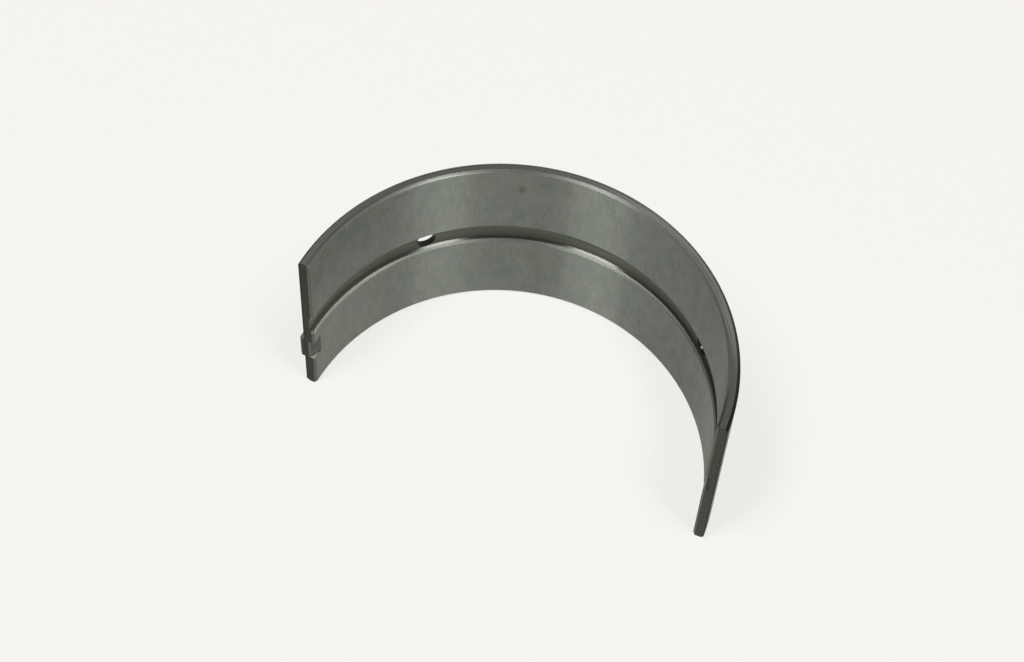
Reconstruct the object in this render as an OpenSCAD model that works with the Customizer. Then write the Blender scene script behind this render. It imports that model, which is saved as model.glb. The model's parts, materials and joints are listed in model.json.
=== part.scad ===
// Half shell of a plain engine bearing: a thin steel-backed half ring with a lined bore,
// an oil groove round the middle of the bore, two oil holes and a pressed locating tang.
// The bore axis is Z, the crown points to +Y and the tang is at the -X end.
// The origin is on the bore axis at mid-width. The shell stands on its lower rim.
// It is drawn free, as it is before fitting: the ends spring a little wider than the
// housing, so each end face stops short of the half circle by a small angle.
// All sizes are in millimetres and all angles in degrees.

/* [Shell] */
// bore of the housing that the shell is pressed into
housing_d = 75; // [65:0.5:90]
// wall thickness, steel back and lining together
wall = 2; // [1.7:0.05:2.6]
// width of the shell along the bore axis
shell_w = 37.3; // [32:0.1:46]
// how much wider than the housing the free shell is across its ends
free_spread = 1.6; // [0:0.1:3]

/* [Edges] */
// leg of the chamfer round the outer edge of each rim
rim_outer_chamfer = 0.55; // [0.2:0.05:0.7]
// leg of the chamfer round the inner edge of each rim
rim_inner_chamfer = 0.45; // [0.2:0.05:0.7]
// leg of the chamfer along the bore edge of each end face
end_chamfer = 0.4; // [0.1:0.05:0.5]

/* [Oil groove] */
// width of the groove floor, from wall to wall
groove_w = 3.5; // [3.2:0.1:5.4]
// how far each wall leans outwards between the floor and the chamfer
groove_lean = 0.25; // [0.1:0.05:0.4]
// depth of the groove at the crown
groove_d = 0.95; // [0.8:0.05:1.1]
// depth of the groove at the end faces, where it runs out shallower
groove_end_d = 0.7; // [0.6:0.05:0.9]
// leg of the chamfer along each edge of the groove, at the crown
groove_chamfer = 0.45; // [0.4:0.05:0.6]
// radius between the groove's walls and its floor
groove_corner = 0.2; // [0.1:0.05:0.4]

/* [Oil holes] */
// diameter of each oil hole through the groove floor
oil_hole_d = 3.5; // [2:0.1:3.6]
// angle from the crown to each oil hole
oil_hole_angle = 45; // [20:1:70]

/* [Locating tang] */
// width of the tang along the bore axis
tang_w = 5.4; // [4:0.1:6]
// distance from mid-width down to the middle of the tang
tang_offset = 8; // [6.5:0.1:12]
// how far the lug stands out from the back of the shell
lug_h = 1; // [0.6:0.05:1.2]
// length of the lug's level top, along the arc from the end face
lug_flat = 2; // [1.4:0.1:3]
// length of the ramp that runs from the lug's top down to the back
lug_ramp = 1.6; // [1:0.1:2.5]
// bevel on the lug's corners
lug_bevel = 0.4; // [0.1:0.05:0.5]
// width of the pocket that the press leaves in the bore behind the lug
pocket_w = 5; // [3.8:0.1:5.8]
// depth of the pocket at the end face
pocket_d = 1.2; // [0.8:0.05:1.5]
// length of the pocket along the bore, from the end face to where its floor runs out
pocket_len = 2.4; // [2:0.1:3.5]
// length of the steep lip where the pocket's floor meets the end face
pocket_lip = 0.25; // [0.1:0.05:0.5]
// how much of the pocket's depth is in that lip
pocket_lip_d = 0.3; // [0.1:0.05:0.5]

/* [Hidden] */
$fn = 180;
// cutters run past the faces that they open by this much
over = 1;
housing_r = housing_d / 2;
// angle by which each end face stops short of the half circle
spread_angle = 45 * free_spread / housing_r;
// free radius of the back: the arc keeps the length that fills half the housing
back_r = housing_r * 90 / (90 - spread_angle);
bore_r = back_r - wall;
mid_r = back_r - wall / 2;
rim_z = shell_w / 2;
// the groove is turned about a point moved towards the crown, so that it fades to the ends
groove_shift = groove_d - groove_end_d;
groove_floor_r = bore_r + groove_end_d;
// height of the groove's walls, from the floor to the chamfer, and their angle to the floor
wall_rise = groove_d - groove_chamfer;
wall_angle = atan2(wall_rise, groove_lean);
// half of the floor's level width, between the rounded corners
floor_half = groove_w / 2 - groove_corner * tan(wall_angle / 2);
// steps in each rounded corner of the groove
corner_steps = 6;
tang_angle = 180 - spread_angle;

// one piece at a time, or all of them together

// a point in the plane across the axis, at radius r and arc length s into the shell from
// the tang's end face
function arc_point(r, s) = [
  r * cos(s / back_r * 180 / PI),
  -r * sin(s / back_r * 180 / PI)
];

// the wall's section, chamfered at both rims
module wall_section() {
  polygon([
    [bore_r + rim_inner_chamfer, -rim_z],
    [back_r - rim_outer_chamfer, -rim_z],
    [back_r, -rim_z + rim_outer_chamfer],
    [back_r, rim_z - rim_outer_chamfer],
    [back_r - rim_outer_chamfer, rim_z],
    [bore_r + rim_inner_chamfer, rim_z],
    [bore_r, rim_z - rim_inner_chamfer],
    [bore_r, -rim_z + rim_inner_chamfer]
  ]);
}

// the half ring, from one end face to the other
module half_ring() {
  rotate_extrude(angle = 180 - 2 * spread_angle, start = spread_angle)
    wall_section();
}

// a point of the groove's rounded corner on side dir, at angle a from the floor
function corner_point(a, dir) = [
  groove_floor_r - groove_corner * (1 - cos(a)),
  dir * (floor_half + groove_corner * sin(a))
];

// the section of the groove tool: rounded corners, leaning walls, then a flare that chamfers
// the edges
module groove_section() {
  flare_r = groove_floor_r - wall_rise;
  flare_half = groove_w / 2 + groove_lean;
  inner_r = bore_r - groove_shift - over;
  flare = flare_r - inner_r;
  step = wall_angle / corner_steps;
  polygon(concat(
    [[inner_r, -flare_half - flare], [flare_r, -flare_half]],
    [for (i = [corner_steps:-1:0]) corner_point(i * step, -1)],
    [for (i = [0:corner_steps]) corner_point(i * step, 1)],
    [[flare_r, flare_half], [inner_r, flare_half + flare]]
  ));
}

// the oil groove, cut from end to end
module oil_groove() {
  translate([0, groove_shift, 0])
    rotate_extrude()
      groove_section();
}

// one oil hole, radial, at an angle a from the +X axis
module oil_hole(a) {
  rotate([0, 0, a])
    translate([mid_r, 0, 0])
      rotate([0, 90, 0])
        cylinder(d = oil_hole_d, h = wall + 2 * over, center = true);
}

// the chamfer along the bore edge of the end face at angle a, with the shell on side dir
module end_edge(a, dir) {
  reach = end_chamfer + over;
  rotate([0, 0, a])
    translate([0, 0, -rim_z - over])
      linear_extrude(height = shell_w + 2 * over)
        polygon([
          [bore_r + reach, -dir * over],
          [bore_r - over, dir * reach],
          [bore_r - over, -dir * over]
        ]);
}

// the lug's outline: its end flush with the end face, its corner bevelled, its back a ramp
// that is carried on below the back of the shell to the middle of the wall
module lug_outline() {
  root_s = lug_flat + lug_ramp * (1 + (back_r - mid_r) / lug_h);
  polygon([
    arc_point(mid_r, 0),
    arc_point(back_r + lug_h - lug_bevel, 0),
    arc_point(back_r + lug_h, lug_bevel),
    arc_point(back_r + lug_h, lug_flat),
    arc_point(back_r, lug_flat + lug_ramp),
    arc_point(mid_r, root_s)
  ]);
}

// the band that takes the corners off both sides of the lug
module lug_band() {
  side = tang_w / 2;
  top_r = back_r + lug_h;
  translate([0, 0, -tang_offset])
    rotate_extrude()
      polygon([
        [bore_r, -side],
        [top_r - lug_bevel, -side],
        [top_r, -side + lug_bevel],
        [top_r, side - lug_bevel],
        [top_r - lug_bevel, side],
        [bore_r, side]
      ]);
}

// the lug that the press pushes out of the back
module lug() {
  intersection() {
    rotate([0, 0, tang_angle])
      translate([0, 0, -tang_offset - tang_w / 2])
        linear_extrude(height = tang_w)
          lug_outline();
    lug_band();
  }
}

// the pocket that the press leaves in the bore: a ramp between straight sides, with a steep
// lip at the end face
module pocket() {
  rotate([0, 0, tang_angle])
    translate([0, 0, -tang_offset - pocket_w / 2])
      linear_extrude(height = pocket_w)
        polygon([
          arc_point(bore_r - over, -over),
          arc_point(bore_r + pocket_d, -over),
          arc_point(bore_r + pocket_d, 0),
          arc_point(bore_r + pocket_d - pocket_lip_d, pocket_lip),
          arc_point(bore_r, pocket_len),
          arc_point(bore_r - over, pocket_len)
        ]);
}

// the whole shell, one solid
module bearing_shell() {
  color([0.42, 0.43, 0.40])
    difference() {
      union() {
        half_ring();
        lug();
      }
      oil_groove();
      for (side = [-1, 1])
        oil_hole(90 + side * oil_hole_angle);
      end_edge(spread_angle, 1);
      end_edge(tang_angle, -1);
      pocket();
    }
}

bearing_shell();
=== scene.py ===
import json
import math
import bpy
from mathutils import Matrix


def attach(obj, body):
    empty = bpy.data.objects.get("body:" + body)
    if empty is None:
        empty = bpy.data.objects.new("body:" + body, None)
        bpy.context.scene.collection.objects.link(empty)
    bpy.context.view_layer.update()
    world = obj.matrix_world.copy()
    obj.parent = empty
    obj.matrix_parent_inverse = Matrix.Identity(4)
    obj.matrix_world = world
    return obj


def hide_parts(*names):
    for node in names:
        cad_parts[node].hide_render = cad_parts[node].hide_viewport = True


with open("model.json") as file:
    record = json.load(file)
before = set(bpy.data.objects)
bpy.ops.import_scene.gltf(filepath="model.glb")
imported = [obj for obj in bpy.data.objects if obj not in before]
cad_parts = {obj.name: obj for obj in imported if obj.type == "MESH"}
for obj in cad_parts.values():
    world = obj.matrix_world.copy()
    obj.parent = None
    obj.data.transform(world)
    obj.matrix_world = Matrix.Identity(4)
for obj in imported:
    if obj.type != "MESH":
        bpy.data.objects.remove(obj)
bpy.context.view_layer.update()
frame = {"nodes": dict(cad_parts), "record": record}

from types import SimpleNamespace

import bpy
import bmesh
from bpy.props import FloatProperty, FloatVectorProperty, PointerProperty
from mathutils import Matrix, Quaternion, Vector

bl_info = {
    "name": "Engine bearing shell",
    "version": (1, 0, 0),
    "blender": (4, 5, 0),
    "location": "View3D > Sidebar > Bearing",
    "description": "Finishes a half shell of a plain engine bearing and sets up its studio",
    "category": "Object",
}

MOUNTS = {mount["name"]: mount for mount in frame["record"]["mounts"]}
BORE = MOUNTS["journal_bore"]["dims"]
HALF_WIDTH = -MOUNTS["lower_rim"]["pos_m"][2]
END_AXIS = MOUNTS["end_face_plain_side"]["axis"]
HOLE = MOUNTS["oil_hole_plain_side"]

MILLIMETRE = 0.001
MICROMETRE = 1e-6
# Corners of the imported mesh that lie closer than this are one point, in metres
MERGE_DISTANCE = 1e-8

# Marks on the lining: arc from the crown and height above mid-width of each, half of its
# width and height, all in millimetres, and how strongly it shows
LINING_MARKS = (
    (-12.0, 13.5, 0.9, 1.3, 0.45),
    (-8.8, 15.6, 0.2, 0.3, 0.8),
    (-8.0, 6.1, 0.16, 0.3, 0.6),
    (4.6, 14.5, 0.16, 0.3, 0.7),
    (0.5, -9.6, 0.16, 0.3, 0.8),
    (27.9, 10.9, 0.2, 0.35, 0.9),
    (-46.2, 7.6, 0.3, 0.5, 0.3),
    (-53.0, 12.0, 2.5, 3.5, 0.16),
    (-33.6, 17.1, 2.2, 0.6, 0.3),
)
# A painted glint on the wall of the oil hole away from the tang, where a reflection would be: its
# place and the radii between which it fades, in millimetres
HOLE_GLINT = (26.2, 27.0, -1.6)
HOLE_GLINT_FADE = (0.15, 0.32)

# The lamps: name, direction from the shell, direction of the width, width and depth in metres
LAMPS = (
    ("left", (-0.209, -0.276, 0.938), (1, -0.05, 0), 0.28, 0.6),
    ("right", (0.320, -0.104, 0.942), (0.755, 0.656, 0), 0.22, 0.6),
    ("back", (-0.10, 0.62, 0.78), (1, 0, 0), 0.2, 0.2),
)
# Half of the floor's width in metres, and the number of squares along its side
FLOOR_REACH = 4.0
FLOOR_SQUARES = 8
# The share of the floor's look that is its own even colour; the rest is lit and keeps the shadow
FLOOR_GLOW = 0.8
DUST_SCALE = 30.0
DUST_DETAIL = 3.0
DUST_SHARE = 0.02
DUST_COLOUR = (0.8, 0.79, 0.76)
# The camera's sensor in millimetres, and the nearest and farthest that it sees in metres
SENSOR_WIDTH = 36
CLIP_START = 0.01
CLIP_END = 50


def srgb(red, green, blue):
    """A colour given in display values of 0 to 255, as linear values by the standard curve."""

    def linear(value):
        value /= 255
        if value <= 0.04045:
            return value / 12.92
        return ((value + 0.055) / 1.055) ** 2.4

    return (linear(red), linear(green), linear(blue))


def length(name, default, description):
    """A size property in metres."""
    return FloatProperty(
        name=name, description=description, default=default, unit="LENGTH", precision=5
    )


def colour(name, default, description):
    """A colour property whose default is given in display values."""
    return FloatVectorProperty(
        name=name,
        description=description,
        default=srgb(*default),
        size=3,
        min=0,
        max=1,
        subtype="COLOR",
    )


def factor(name, default, description):
    """A property from 0 to 1."""
    return FloatProperty(
        name=name,
        description=description,
        default=default,
        min=0,
        max=1,
        subtype="FACTOR",
    )


def power(name, default, description):
    """A lamp's power in watts."""
    return FloatProperty(name=name, description=description, default=default, unit="POWER")


def place(name, default, description):
    """A point in metres."""
    return FloatVectorProperty(
        name=name, description=description, default=default, subtype="TRANSLATION", unit="LENGTH"
    )


class ShellSizes(bpy.types.PropertyGroup):
    """Where each surface of the shell begins and ends, so that it gets its own finish."""

    bore_radius: length("Bore radius", BORE["r_mm"] * MILLIMETRE, "Radius of the lined bore")
    back_radius: length(
        "Back radius", MOUNTS["housing_back"]["pos_m"][1], "Radius of the steel back"
    )
    half_width: length("Half width", HALF_WIDTH, "Half of the width along the bore axis")
    rim_inner: length(
        "Inner rim chamfer",
        HALF_WIDTH - BORE["length_mm"] * MILLIMETRE / 2,
        "Leg of the chamfer between the bore and each rim",
    )
    rim_outer: length(
        "Outer rim chamfer", 0.00055, "Leg of the chamfer between the back and each rim"
    )
    end_chamfer: length("End chamfer", 0.0004, "Leg of the chamfer along each end's bore edge")
    groove_half: length("Groove half width", 0.002, "From the groove's middle to its chamfers")
    floor_half: length("Groove floor half width", 0.00163, "Half of the groove's level floor")
    groove_edge: length("Groove edge", 0.00045, "Leg of the chamfer along the groove's edges")
    groove_depth: length("Groove depth", 0.00095, "Depth of the groove at the crown")
    hole_radius: length(
        "Oil hole radius", HOLE["dims"]["r_mm"] * MILLIMETRE, "Radius of an oil hole"
    )
    tang_z: length(
        "Tang height", MOUNTS["locating_lug"]["pos_m"][2], "Where the middle of the tang is"
    )
    pocket_half: length("Pocket half width", 0.0025, "Half of the width of the pocket")
    pocket_length: length("Pocket length", 0.0024, "Length of the pocket behind the lug")
    pocket_lip: length("Pocket lip", 0.00025, "Length of the steep lip at the pocket's mouth")


class ShellFinish(bpy.types.PropertyGroup):
    """The colours and the roughness of the shell's surfaces."""

    bore_colour: colour("Bore lining", (115, 119, 112), "Lining of the bore")
    bore_cool: colour("Bore lining, cool", (111, 118, 112), "Cooler clouds in the lining")
    bore_warm: colour("Bore lining, warm", (115, 120, 110), "Warmer clouds in the lining")
    stain_colour: colour("Stains", (72, 76, 68), "Specks and the smudge in the bore")
    rim_colour: colour("Rim", (84, 87, 82), "Turned face of each rim")
    edge_colour: colour("Rim chamfers", (111, 114, 108), "Chamfers round the bore at the rims")
    # Painted shade: the outer chamfers are made near black
    outer_colour: colour("Outer chamfers", (36, 38, 33), "Chamfers round the back at the rims")
    slope_colour: colour("Groove chamfers", (110, 114, 107), "Chamfers along the groove")
    # Painted highlight on the groove's chamfers near the tang
    slope_bright: colour("Groove chamfers, bright", (182, 187, 177), "The same near the tang")
    wall_colour: colour("Groove walls", (57, 57, 53), "Leaning walls of the oil groove")
    groove_colour: colour("Groove floor", (88, 92, 83), "Floor of the oil groove")
    # Painted shade: the walls of the oil holes are made dark
    hole_colour: colour("Oil holes", (40, 41, 36), "Walls of the oil holes")
    # Painted glint in an oil hole
    chip_colour: colour("Chip", (190, 191, 182), "Chip of bright metal in an oil hole")
    end_colour: colour("End face", (60, 62, 52), "Milled end face")
    end_dark: colour("End face at the tang", (40, 43, 32), "Milled end face beside the tang")
    end_edge_colour: colour("End chamfer", (91, 94, 84), "Chamfer along the end face at the tang")
    # Painted shade: the chamfer at the plain end is made darker
    end_edge_dark: colour("Plain end chamfer", (68, 70, 63), "Chamfer along the other end face")
    back_colour: colour("Steel back", (112, 115, 110), "Steel back of the shell")
    back_line_colour: colour("Dark line", (42, 43, 38), "Line along the back at the plain end")
    lug_colour: colour("Lug", (98, 101, 94), "Pressed lug on the back")
    pocket_colour: colour("Pocket", (88, 91, 82), "Pressed pocket behind the lug")
    lip_colour: colour("Pocket lip", (117, 119, 110), "Steep lip at the pocket's mouth")
    # Sheared metal, made lighter still as painted light from above
    shear_colour: colour("Pocket sides", (142, 144, 135), "Sheared sides of the pocket")
    bore_roughness: factor("Bore roughness", 0.385, "Roughness of the lining")
    edge_roughness: factor("Chamfer roughness", 0.46, "Roughness of the chamfers")
    groove_roughness: factor("Groove roughness", 0.42, "Roughness of the groove's floor")
    wall_roughness: factor("Groove wall roughness", 0.215, "Roughness of the groove's walls")
    back_roughness: factor("Back roughness", 0.38, "Roughness of the rolled steel back")
    rim_roughness: factor("Rim roughness", 0.26, "Roughness of the rims")
    plain_roughness: factor("Plain roughness", 0.45, "Roughness of the ends, lug and pocket")
    shear_roughness: factor("Pocket side roughness", 0.7, "Roughness of the pocket's sides")


class StudioSettings(bpy.types.PropertyGroup):
    """The floor, the light and the camera."""

    floor_colour: colour("Floor", (246, 244, 240), "Floor and backdrop")
    fill_level: factor("Fill light", 0.08, "Level of the even light from all round")
    lamp_distance: length("Lamp distance", 1.5, "How far the lamps are from the shell")
    left_power: power("Left lamp", 12.9, "Power of the lamp above on the left")
    right_power: power("Right lamp", 10.1, "Power of the lamp above on the right")
    back_power: power("Back lamp", 0.5, "Power of the lamp above the back")
    eye: place("Camera place", (0.0679892, -0.1805791, 0.3267799), "Where the camera stands")
    aim: place("Camera aim", (-0.0047733, 0.0151128, 0), "The point at the middle of the picture")
    roll: FloatProperty(
        name="Camera roll",
        description="How far the camera is turned about its own line of sight",
        default=math.radians(3.899),
        subtype="ANGLE",
    )
    lens: FloatProperty(
        name="Lens", description="Focal length of the camera", default=78.643, unit="CAMERA"
    )


class Wire:
    """A shader socket that takes part in Python arithmetic."""

    def __init__(self, tree, socket=None):
        self.tree = tree
        self.socket = socket

    def add(self, kind, settings=(), sockets=(), output=0):
        """Adds a node, sets it, then its sockets' values or links, and gives one output."""
        made = self.tree.nodes.new(kind)
        for name, value in dict(settings).items():
            setattr(made, name, value)
        for key, value in dict(sockets).items():
            if isinstance(value, Wire):
                self.tree.links.new(value.socket, made.inputs[key])
            else:
                made.inputs[key].default_value = value
        return Wire(self.tree, made.outputs[output] if made.outputs else None)

    def other(self, output):
        """Another output of the same node."""
        return Wire(self.tree, self.socket.node.outputs[output])

    def math(self, operation, *values):
        """A Math node on these values."""
        return self.add("ShaderNodeMath", {"operation": operation}, enumerate(values))

    def __add__(self, value):
        return self.math("ADD", self, value)

    def __radd__(self, value):
        return self.math("ADD", value, self)

    def __sub__(self, value):
        return self.math("SUBTRACT", self, value)

    def __rsub__(self, value):
        return self.math("SUBTRACT", value, self)

    def __mul__(self, value):
        return self.math("MULTIPLY", self, value)

    def __rmul__(self, value):
        return self.math("MULTIPLY", value, self)

    def __abs__(self):
        return self.math("ABSOLUTE", self)

    def root(self):
        """The square root of this value."""
        return self.math("SQRT", self)

    def swing(self, amount):
        """Noise from 0 to 1 as a change of an amount, to either side of 0."""
        return (self - 0.5) * amount

    def over(self, low, high):
        """0 below low, 1 above high, and smooth between."""
        return self.add(
            "ShaderNodeMapRange",
            {"interpolation_type": "SMOOTHSTEP"},
            {"Value": self, "From Min": low, "From Max": high},
        )

    def under(self, low, high):
        """1 below low, 0 above high, and smooth between."""
        return 1 - self.over(low, high)

    def within(self, low, rise, fall, high):
        """0 below low and above high, 1 from rise to fall, and smooth between."""
        return self.over(low, rise) * self.under(fall, high)

    def blend(self, first, second):
        """A colour mixed from two, with this value as the share of the second."""
        return self.add(
            "ShaderNodeMix",
            {"data_type": "RGBA"},
            {0: self, 6: first, 7: second},
            output=2,
        )

    def shade(self, share, level):
        """This colour times a grey level, over a share of it."""
        if isinstance(level, Wire):
            grey = self.add("ShaderNodeCombineColor", sockets={key: level for key in range(3)})
        else:
            grey = opaque((level, level, level))
        return self.add(
            "ShaderNodeMix",
            {"data_type": "RGBA", "blend_type": "MULTIPLY"},
            {0: share, 6: self, 7: grey},
            output=2,
        )

    def grain(self, across, along, third=0.0, detail=2.0):
        """Noise from 0 to 1 on three coordinates."""
        vector = self.add("ShaderNodeCombineXYZ", sockets={0: across, 1: along, 2: third})
        return self.add(
            "ShaderNodeTexNoise", sockets={"Vector": vector, "Scale": 1.0, "Detail": detail}
        )


def opaque(rgb):
    """A colour with full alpha."""
    return (*rgb, 1.0)


def new_material(name):
    """An empty node material, and a wire that adds nodes to it."""
    material = bpy.data.materials.new(name)
    material.use_nodes = True
    material.node_tree.nodes.clear()
    return material, Wire(material.node_tree)


def shell_places(start, sizes):
    """Where a point lies on the shell, in millimetres.

    An arc runs along the bore from the crown, and is below 0 towards the tang.
    """
    here = start.add(
        "ShaderNodeVectorMath",
        {"operation": "SCALE"},
        {"Vector": start.add("ShaderNodeTexCoord", output="Object"), "Scale": 1 / MILLIMETRE},
    )
    x = start.add("ShaderNodeSeparateXYZ", sockets={0: here})
    y, z = x.other(1), x.other(2)
    hole_side = abs(x) * abs(HOLE["axis"][1]) - y * abs(HOLE["axis"][0])
    return SimpleNamespace(
        here=here,
        z=z,
        height=abs(z),
        radius=(x * x + y * y).root(),
        arc=start.math("ARCTAN2", x, y) * (sizes.bore_radius / MILLIMETRE),
        end_gap=y * -END_AXIS[1] - abs(x) * END_AXIS[0],
        hole_gap=(hole_side * hole_side + z * z).root(),
        tang_gap=abs(z - sizes.tang_z / MILLIMETRE),
        # Shares of 1 on the tang's half and on the other half of the shell
        tang_half=x.under(-1, 1),
        plain_half=x.over(-1, 1),
    )


def shell_marks(start, at):
    """Marks of making and use, as noise from 0 to 1.

    The scales are waves in a millimetre, and the third coordinate sets the patterns apart.
    """
    return SimpleNamespace(
        streaks=start.grain(at.arc * 3.0, at.z * 0.28, detail=3.0),
        fine=start.grain(at.arc * 8.0, at.z * 0.7, 7.0),
        scratches=start.grain(at.arc * 4.0, at.z * 0.5, 23.0).over(0.58, 0.73),
        clusters=start.grain(at.arc * 0.22, at.z * 0.12, 31.0),
        clouds=start.grain(at.arc * 0.16, at.z * 0.1, 3.0),
        patches=start.grain(at.arc * 0.5, at.z * 0.22, 11.0, 3.0),
        specks=start.grain(at.arc * 3.6, at.z * 2.2, 19.0, 0.0).over(0.76, 0.8),
        rings=start.grain(at.radius * 3.0, at.arc * 0.06, at.z * 3.0, 1.0),
        mottle=start.grain(at.radius * 2.0, at.arc * 0.9, at.z * 1.3, 4.0),
        lines=start.grain(at.radius * 3.6, at.arc * 0.06, 41.0, 0.0),
        rolled=start.grain(at.arc * 0.12, at.z * 3.5, 53.0, 4.0),
        nicks=start.grain(at.arc * 1.1, at.radius * 0.8, 47.0, 3.0).over(0.64, 0.72),
        uneven=start.grain(at.z * 0.4, at.arc * 0.4, 61.0),
    )


def shell_surfaces(at, marks, sizes):
    """A share from 0 to 1 for each surface of the shell, by its place.

    Borders between surfaces are a few hundredths of a millimetre wide.
    """
    size = SimpleNamespace(
        **{name: getattr(sizes, name) / MILLIMETRE for name in ShellSizes.__annotations__}
    )
    on = SimpleNamespace(
        off_bore=at.radius.over(size.bore_radius + 0.008, size.bore_radius + 0.02),
        back=at.radius.over(size.back_radius - 0.05, size.back_radius - 0.025),
    )
    add_rims(on, at, size)
    add_groove(on, at, size)
    add_ends(on, at, marks, size)
    add_tang(on, at, size)
    return on


def add_rims(on, at, size):
    """Adds the rims, their chamfers and the lines along these."""
    inner = size.bore_radius + size.rim_inner
    inner_foot = size.half_width - size.rim_inner
    outer = size.back_radius - size.rim_outer
    outer_foot = size.half_width - size.rim_outer
    on.rim = at.height.over(size.half_width - 0.012, size.half_width - 0.004)
    on.rim_line = on.rim * at.radius.under(inner + 0.06, inner + 0.14)
    on.rim_outside = on.rim * at.radius.over(outer - 0.25, outer - 0.1)
    on.inner_edge = (
        on.off_bore
        * at.height.over(inner_foot - 0.02, inner_foot)
        * at.radius.under(inner, inner + 0.02)
    )
    on.edge_line = on.inner_edge * at.radius.under(size.bore_radius + 0.12, size.bore_radius + 0.2)
    on.outer_edge = (
        at.radius.over(outer - 0.02, outer) * at.height.over(outer_foot - 0.02, outer_foot)
    )


def add_groove(on, at, size):
    """Adds the groove's floor, walls and chamfers, the lines along these, and the oil holes."""
    top = size.groove_half + size.groove_edge
    foot = size.bore_radius + size.groove_depth
    on.groove = (
        on.off_bore
        * at.height.under(top, top + 0.05)
        * at.radius.under(foot + 0.05, foot + 0.12)
    )
    on.floor = on.groove * at.height.under(size.floor_half, size.floor_half + 0.1)
    on.slope = on.groove * at.height.over(size.groove_half + 0.004, size.groove_half + 0.012)
    on.slope_line = on.slope * at.height.over(top - 0.16, top - 0.08)
    # The inner edge of the groove's chamfers, where a painted highlight goes
    on.slope_edge = on.slope * at.height.under(size.groove_half + 0.1, size.groove_half + 0.18)
    on.wall = on.groove - on.slope - on.floor
    on.hole = at.hole_gap.under(size.hole_radius + 0.02, size.hole_radius + 0.06) * on.off_bore


def add_ends(on, at, marks, size):
    """Adds the end faces, their chamfers and the lines along these."""
    top = size.bore_radius + size.end_chamfer
    on.end = at.end_gap.under(0.006, 0.02)
    on.end_line = on.end * at.radius.over(size.back_radius - 0.45, size.back_radius - 0.25)
    on.end_edge = (
        on.off_bore
        * at.end_gap.under(size.end_chamfer, size.end_chamfer + 0.03)
        * at.radius.under(top, top + 0.03)
    )
    # A painted highlight along the edge of the end chamfer
    on.end_bright = on.end_edge * at.radius.over(top - 0.14, top - 0.06)
    # A dark, slightly uneven line along the edge of the back
    uneven_gap = at.end_gap + marks.uneven.swing(0.8)
    on.back_line = on.back * at.plain_half * uneven_gap.under(0.3, 1.1)


def add_tang(on, at, size):
    """Adds the lug, and the pocket behind it with its lip and sheared sides, its corners for painted
    shade and its lower side for painted light.
    """
    on.lug = at.radius.over(size.back_radius + 0.01, size.back_radius + 0.05)
    on.lug_end = on.end * at.radius.over(size.back_radius, size.back_radius + 0.1)
    on.pocket = (
        at.tang_half
        * at.tang_gap.under(size.pocket_half + 0.01, size.pocket_half + 0.03)
        * at.end_gap.under(size.pocket_length, size.pocket_length + 0.1)
        * on.off_bore
        * at.radius.under(size.back_radius - 0.5, size.back_radius - 0.4)
    )
    on.lip = on.pocket * at.end_gap.under(size.pocket_lip, size.pocket_lip + 0.04)
    on.shear = on.pocket * at.tang_gap.over(size.pocket_half - 0.02, size.pocket_half - 0.008)
    # Painted shade in the pocket's corners, and painted light towards its lower side
    corner = at.tang_gap.over(size.pocket_half - 0.22, size.pocket_half - 0.12)
    on.crease = on.pocket * corner - on.shear
    lit_side = (at.z - size.tang_z).under(-1.9, -0.7) * at.end_gap.under(0.8, 2.0)
    on.pocket_worn = on.pocket * lit_side * (1 - on.lip) * (1 - on.shear)


def lining_skin(start, at, marks, finish):
    """The colour of the lined bore, with its clouds, streaks and stains, and painted reflection,
    shade and highlights.
    """
    skin = marks.clouds.over(0.35, 0.65).blend(opaque(finish.bore_cool), opaque(finish.bore_warm))
    skin = marks.patches.over(0.3, 0.6).blend(skin, opaque(finish.bore_colour))
    stain = marks.specks * marks.clusters.over(0.5, 0.6) * 0.7
    for arc, height, half_width, half_height, strength in LINING_MARKS:
        side = (at.arc - arc) * (1 / half_width)
        rise = (at.z - height) * (1 / half_height)
        gap = (side * side + rise * rise).root() + marks.fine.swing(0.8)
        stain = start.math("MAXIMUM", stain, gap.under(0.4, 1.0) * strength)
    skin = stain.blend(skin, opaque(finish.stain_colour))
    clusters = 0.35 + marks.clusters.over(0.4, 0.65)
    lower = at.z.under(-3, -1)
    upper = 1 - lower
    for share, level in (
        (1.0, 1 + marks.streaks.swing(0.45) * clusters + marks.patches.swing(0.35)),
        (marks.scratches * clusters, 0.77),
        # Painted reflection of the floor: lighter below the groove towards the tang and towards the
        # plain end. Above the groove it is lighter towards the tang, less so towards its upper corner
        (lower * at.arc.under(-46, -32), 1.32),
        (upper * at.arc.under(-44, -34), 1.14 - at.z.over(4, 15) * 0.16),
        (lower * at.arc.over(26, 42), 1.2),
        # Painted shade beside the two bands where the lamps gleam, and a painted highlight in the
        # upper half of one
        (at.arc.within(-38.5, -36, -31.7, -30.3), 0.94),
        (at.arc.within(-11, -8.5, -4.3, -2.9), 0.9),
        (at.arc.within(6.7, 9.2, 25.3, 26.7), 0.9),
        (upper * at.arc.within(-29, -26, -22.5, -20.5), 1.08),
        # Painted highlight on the edge below the groove towards the tang
        (lower * at.z.over(-2.9, -2.6) * at.arc.under(-40, -32), 1.95),
        # It is darker close to the plain end
        (at.arc.over(41, 47.5), 0.66),
    ):
        skin = skin.shade(share, level)
    return skin


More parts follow.
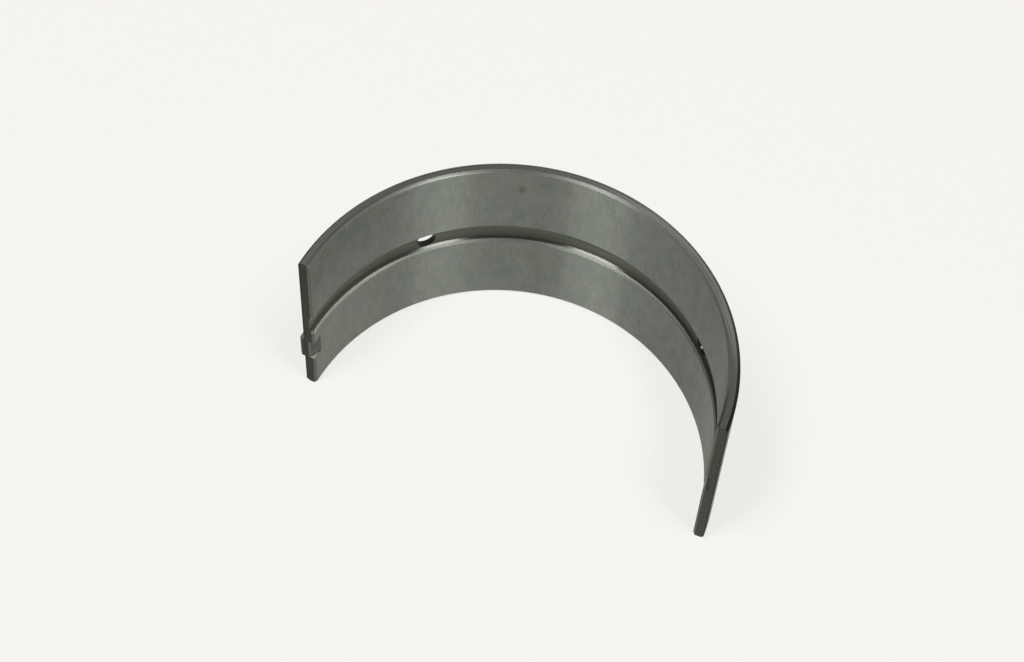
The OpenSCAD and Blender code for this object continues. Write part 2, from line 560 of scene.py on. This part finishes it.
def shell_paint(start, at, on, marks, finish):
    """The colour of the whole shell, surface by surface."""
    # The groove's chamfers take the painted highlight towards the tang
    slope_paint = at.arc.under(-40, -30).blend(
        opaque(finish.slope_colour), opaque(finish.slope_bright)
    )
    end_paint = at.tang_half.blend(opaque(finish.end_colour), opaque(finish.end_dark))
    # The chamfer at the plain end takes its painted shade
    end_edge_paint = at.tang_half.blend(
        opaque(finish.end_edge_dark), opaque(finish.end_edge_colour)
    )
    # Distance to the painted glint in the oil hole
    glint_gap = start.add(
        "ShaderNodeVectorMath", {"operation": "DISTANCE"}, {0: at.here, 1: HOLE_GLINT}, output="Value"
    )
    steel = on.back.blend(opaque(finish.end_colour), opaque(finish.back_colour))
    steel = on.lug.blend(steel, opaque(finish.lug_colour))
    skin = on.off_bore.blend(lining_skin(start, at, marks, finish), steel)
    for share, paint in (
        (on.groove, opaque(finish.wall_colour)),
        (on.floor, opaque(finish.groove_colour)),
        (on.slope, slope_paint),
        (on.hole, opaque(finish.hole_colour)),
        (on.hole * glint_gap.under(*HOLE_GLINT_FADE), opaque(finish.chip_colour)),
        (on.end_edge, end_edge_paint),
        (on.inner_edge, opaque(finish.edge_colour)),
        (on.outer_edge, opaque(finish.outer_colour)),
        (on.rim, opaque(finish.rim_colour)),
        (on.pocket, opaque(finish.pocket_colour)),
        (on.lip, opaque(finish.lip_colour)),
        (on.shear, opaque(finish.shear_colour)),
        (on.end, end_paint),
        (on.back_line, opaque(finish.back_line_colour)),
    ):
        skin = share.blend(skin, paint)
    return skin


def shell_wear_and_shade(skin, at, on, marks):
    """The shell's colour after making and use, with painted light and shade, each step a share and
    its level of grey.
    """
    to_tang = at.arc.under(-46, -32)
    # Painted light and shade on the rims' outer part, and a darker, uneven inner chamfer near the
    # plain end
    outside_shading = 1.02 - at.arc.within(-40, -32, 6, 10) * 0.32 + at.arc.over(8, 14) * 0.12
    edge_darkening = at.arc.over(46, 53) * (0.25 + marks.fine.over(0.4, 0.6) * 0.4)
    for share, level in (
        (on.off_bore, 1 + marks.rings.swing(0.35)),
        (on.end + on.lug, 1 + marks.mottle.swing(0.9)),
        (on.back, 1 + marks.rolled.swing(0.4) + marks.patches.swing(0.3)),
        # The end faces are dark along the back and bright on the lug, with a painted highlight along
        # the chamfer
        (on.end_line, 0.8 - at.tang_half * 0.25),
        (on.end_bright, 1.3),
        (on.lug_end, 2.0),
        # Painted shade along the groove's lower foot and on its wall and floor towards the plain end,
        # and painted light near the tang and at its mouth at the plain end
        (on.floor, 0.78 + at.z.over(-1.6, 1.2) * 0.4),
        (on.groove - on.slope, 1 + to_tang * 0.5),
        (on.wall, 1 + to_tang * 0.15 - at.arc.over(10, 20) * 0.35),
        (on.groove - on.groove * on.end, 1 + at.arc.over(53, 55) * 1.9),
        (on.floor, 1 - at.arc.over(6, 14) * 0.12 - at.arc.over(24, 36) * 0.35),
        # The groove's chamfers get painted highlights past the crown towards the plain end and
        # towards the tang, brightest along their inner edge, and a dark line towards the plain end
        (on.slope, 1 + at.arc.over(6, 18) * 0.25 + to_tang * 0.3),
        (on.slope_edge, 1 + to_tang * 0.05 + at.arc.within(2, 8, 16, 28) * 0.8),
        (on.slope_line, 1 - at.arc.over(18, 30) * 0.6),
        # The pocket is darker overall as painted shade, with painted light towards its lower side and
        # painted shade in its corners
        (on.pocket - on.shear, 0.77),
        (on.pocket_worn, 2.6),
        (on.crease, 0.6),
        # A dark line of painted shade runs on the rim towards the tang, with a painted highlight
        # along the chamfer below that
        (on.rim_line * at.arc.under(-38, -26), 0.5),
        (on.edge_line * at.arc.under(-26, -12), 1.45),
        # The rims have fine rings and small nicks. Their tone round the bore is painted light and
        # shade: darker round the crown, lighter towards the tang, and their outer chamfers darker
        # towards the plain end; the inner chamfer is darker and uneven near the plain end
        (on.rim_outside, outside_shading),
        (on.rim, 1 + to_tang * 0.18 - at.arc.over(36, 46) * 0.3),
        (on.rim, 1 + (marks.lines - 0.5) * (0.3 + at.arc.over(0, 16) * 0.6)),
        (on.rim_line + on.edge_line, 1 + marks.nicks * 0.5),
        (on.inner_edge, 1 - at.arc.over(28, 38) * 0.1 - edge_darkening),
        (on.outer_edge, 1 - at.arc.over(2, 24) * 0.4),
        (on.rim * at.arc.within(-28, -18, -2, 6), 0.84),
    ):
        skin = skin.shade(share, level)
    return skin


def bearing_metal(sizes, finish):
    """The metal of the shell: turned surfaces that gleam across their marks, and plain ones."""
    material, start = new_material("bearing_metal_finish")
    at = shell_places(start, sizes)
    marks = shell_marks(start, at)
    on = shell_surfaces(at, marks, sizes)
    skin = shell_wear_and_shade(shell_paint(start, at, on, marks, finish), at, on, marks)

    turned_rough = (
        finish.bore_roughness
        + on.off_bore * (finish.edge_roughness - finish.bore_roughness)
        + on.floor * (finish.groove_roughness - finish.edge_roughness)
        + on.wall * (finish.wall_roughness - finish.edge_roughness)
        + on.back * (finish.back_roughness - finish.edge_roughness)
    )
    plain_rough = (
        finish.plain_roughness
        + on.rim * (finish.rim_roughness - finish.plain_roughness)
        + marks.rings.swing(0.12)
        + on.shear * (finish.shear_roughness - finish.plain_roughness)
    )
    # Heights of the marks, in micrometres
    lining_relief = (marks.streaks * 0.5 + marks.fine * 0.15) * (1 - on.off_bore)
    back_relief = marks.rolled * on.back * 0.4
    ring_relief = marks.rings * on.off_bore * 0.15
    relief = (lining_relief + back_relief + ring_relief) * MICROMETRE
    normal = start.add("ShaderNodeBump", sockets={"Height": relief, "Distance": 1.0})

    turned = start.add(
        "ShaderNodeBsdfPrincipled",
        sockets={
            "Base Color": skin,
            "Metallic": 1.0,
            "Roughness": turned_rough,
            "Anisotropic": 1.0,
            "Anisotropic Rotation": 0.25,
            "Normal": normal,
        },
    )
    plain = start.add(
        "ShaderNodeBsdfPrincipled",
        sockets={
            "Base Color": skin,
            "Metallic": 1 - on.back_line,
            "Roughness": plain_rough,
            "Specular IOR Level": 0.0,
            "Normal": normal,
        },
    )
    turned_share = start.math("MAXIMUM", 1 - on.off_bore, on.groove * (1 - on.hole))
    turned_share = start.math("MAXIMUM", turned_share, on.inner_edge)
    turned_share = start.math("MAXIMUM", turned_share, on.back * (1 - on.lug))
    for plain_part in (on.rim, on.end, on.pocket, on.back_line):
        turned_share = turned_share * (1 - plain_part)
    metal = start.add("ShaderNodeMixShader", sockets={0: turned_share, 1: plain, 2: turned})
    start.add("ShaderNodeOutputMaterial", sockets={"Surface": metal})
    return material


def seen_directly(start):
    """1 where the camera, a reflection or a clear body looks, 0 where light is gathered."""
    camera = start.add("ShaderNodeLightPath", output="Is Camera Ray")
    glossy = start.math("MAXIMUM", camera, camera.other("Is Glossy Ray"))
    return start.math("MAXIMUM", glossy, camera.other("Is Transmission Ray"))


def floor_paint(studio):
    """A pale matt floor that keeps the shell's shadow."""
    material, start = new_material("studio_floor")
    dust = start.add(
        "ShaderNodeTexNoise",
        sockets={
            "Vector": start.add("ShaderNodeTexCoord", output="Object"),
            "Scale": DUST_SCALE,
            "Detail": DUST_DETAIL,
        },
    )
    paint = (dust * DUST_SHARE).blend(opaque(studio.floor_colour), opaque(DUST_COLOUR))
    matt = start.add("ShaderNodeBsdfDiffuse", sockets={"Color": paint})
    bright = start.add("ShaderNodeEmission", sockets={"Color": paint, "Strength": 1.0})
    glow = seen_directly(start) * FLOOR_GLOW
    surface = start.add("ShaderNodeMixShader", sockets={0: glow, 1: matt, 2: bright})
    start.add("ShaderNodeOutputMaterial", sockets={"Surface": surface})
    return material


def place_lamp(name, toward, across, width, depth, watts, distance):
    """A soft rectangular lamp in the direction toward, its width along across."""
    lamp = bpy.data.lights.new(name, "AREA")
    lamp.shape = "RECTANGLE"
    lamp.size, lamp.size_y = width, depth
    lamp.energy = watts
    back = Vector(toward).normalized()
    side = Vector(across)
    side = (side - back * side.dot(back)).normalized()
    up = back.cross(side)
    holder = bpy.data.objects.new(name, lamp)
    turn = Matrix((side, up, back)).transposed().to_4x4()
    holder.matrix_world = Matrix.Translation(back * distance) @ turn
    bpy.context.scene.collection.objects.link(holder)


def merged_copy(node, name):
    """A copy of a node's mesh with its doubles merged and its shading kept."""
    mesh = node.data.copy()
    mesh.name = name
    normals = [corner.vector.copy() for corner in mesh.corner_normals]
    work = bmesh.new()
    work.from_mesh(mesh)
    kept = work.loops.layers.float_vector.new("kept_normal")
    corners = [corner for face in work.faces for corner in face.loops]
    for corner, normal in zip(corners, normals):
        corner[kept] = normal
    bmesh.ops.remove_doubles(work, verts=work.verts, dist=MERGE_DISTANCE)
    normals = [corner[kept].copy() for face in work.faces for corner in face.loops]
    work.loops.layers.float_vector.remove(kept)
    work.to_mesh(mesh)
    work.free()
    mesh.normals_split_custom_set(normals)
    return mesh


class BEARING_OT_shell(bpy.types.Operator):
    """Dress the half shell in its lined, turned and pressed metal"""

    bl_idname = "bearing.shell"
    bl_label = "Finish the shell"

    def execute(self, context):
        scene = context.scene
        node = frame["nodes"]["bearing_shell"]
        mesh = merged_copy(node, "half_shell")
        # The turning marks run round the bore axis, so the texture space is centred on it
        reach = scene.shell_sizes.back_radius
        mesh.use_auto_texspace = False
        mesh.texspace_location = (0, 0, 0)
        mesh.texspace_size = (reach, reach, reach)
        mesh.materials.clear()
        mesh.materials.append(bearing_metal(scene.shell_sizes, scene.shell_finish))
        shell = bpy.data.objects.new("half_shell", mesh)
        scene.collection.objects.link(shell)
        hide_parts("bearing_shell")
        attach(shell, "root")
        return {"FINISHED"}


class BEARING_OT_studio(bpy.types.Operator):
    """Set up the pale floor, the soft light and the camera"""

    bl_idname = "bearing.studio"
    bl_label = "Set up the studio"

    def execute(self, context):
        scene = context.scene
        studio = scene.bearing_studio
        self.lay_floor(scene, studio)
        self.light(scene, studio)
        self.set_camera(scene, studio)
        scene.view_settings.view_transform = "Standard"
        return {"FINISHED"}

    def lay_floor(self, scene, studio):
        """Lays the floor under the shell's lower rim."""
        mesh = bpy.data.meshes.new("studio_floor")
        sheet = bmesh.new()
        bmesh.ops.create_grid(
            sheet, x_segments=FLOOR_SQUARES, y_segments=FLOOR_SQUARES, size=FLOOR_REACH
        )
        drop = (0, 0, -scene.shell_sizes.half_width)
        bmesh.ops.translate(sheet, verts=sheet.verts, vec=drop)
        sheet.to_mesh(mesh)
        sheet.free()
        mesh.materials.append(floor_paint(studio))
        floor = bpy.data.objects.new("studio_floor", mesh)
        scene.collection.objects.link(floor)

    def light(self, scene, studio):
        """Sets the even light from all round and the lamps."""
        world = bpy.data.worlds.new("studio_light")
        world.use_nodes = True
        world.node_tree.nodes.clear()
        start = Wire(world.node_tree)
        level = studio.fill_level
        fill = opaque((level, level, level))
        tint = seen_directly(start).blend(fill, opaque(studio.floor_colour))
        surround = start.add("ShaderNodeBackground", sockets={"Color": tint, "Strength": 1.0})
        start.add("ShaderNodeOutputWorld", sockets={"Surface": surround})
        scene.world = world
        for name, toward, across, width, depth in LAMPS:
            watts = getattr(studio, name + "_power")
            place_lamp("lamp_" + name, toward, across, width, depth, watts, studio.lamp_distance)

    def set_camera(self, scene, studio):
        """Places the camera and aims it."""
        lens = bpy.data.cameras.new("camera")
        lens.sensor_fit = "HORIZONTAL"
        lens.sensor_width = SENSOR_WIDTH
        lens.lens = studio.lens
        lens.clip_start, lens.clip_end = CLIP_START, CLIP_END
        camera = bpy.data.objects.new("camera", lens)
        eye, aim = Vector(studio.eye), Vector(studio.aim)
        turn = (aim - eye).to_track_quat("-Z", "Y") @ Quaternion((0, 0, 1), studio.roll)
        camera.matrix_world = Matrix.Translation(eye) @ turn.to_matrix().to_4x4()
        scene.collection.objects.link(camera)
        scene.camera = camera


class BEARING_PT_panel(bpy.types.Panel):
    """Lists the steps that make the bearing shell's scene"""

    bl_idname = "BEARING_PT_panel"
    bl_label = "Bearing shell"
    bl_space_type = "VIEW_3D"
    bl_region_type = "UI"
    bl_category = "Bearing"

    def draw(self, context):
        scene = context.scene
        for step, groups in (
            (BEARING_OT_studio, (scene.bearing_studio,)),
            (BEARING_OT_shell, (scene.shell_sizes, scene.shell_finish)),
        ):
            box = self.layout.box()
            box.operator(step.bl_idname)
            for settings in groups:
                for name in settings.__annotations__:
                    box.prop(settings, name)


CLASSES = (
    ShellSizes,
    ShellFinish,
    StudioSettings,
    BEARING_OT_studio,
    BEARING_OT_shell,
    BEARING_PT_panel,
)


def register():
    for kind in CLASSES:
        bpy.utils.register_class(kind)
    bpy.types.Scene.shell_sizes = PointerProperty(type=ShellSizes)
    bpy.types.Scene.shell_finish = PointerProperty(type=ShellFinish)
    bpy.types.Scene.bearing_studio = PointerProperty(type=StudioSettings)


def unregister():
    del bpy.types.Scene.bearing_studio
    del bpy.types.Scene.shell_finish
    del bpy.types.Scene.shell_sizes
    for kind in reversed(CLASSES):
        bpy.utils.unregister_class(kind)


def main():
    register()
    bpy.ops.bearing.studio()
    bpy.ops.bearing.shell()


if __name__ == "__main__":
    main()
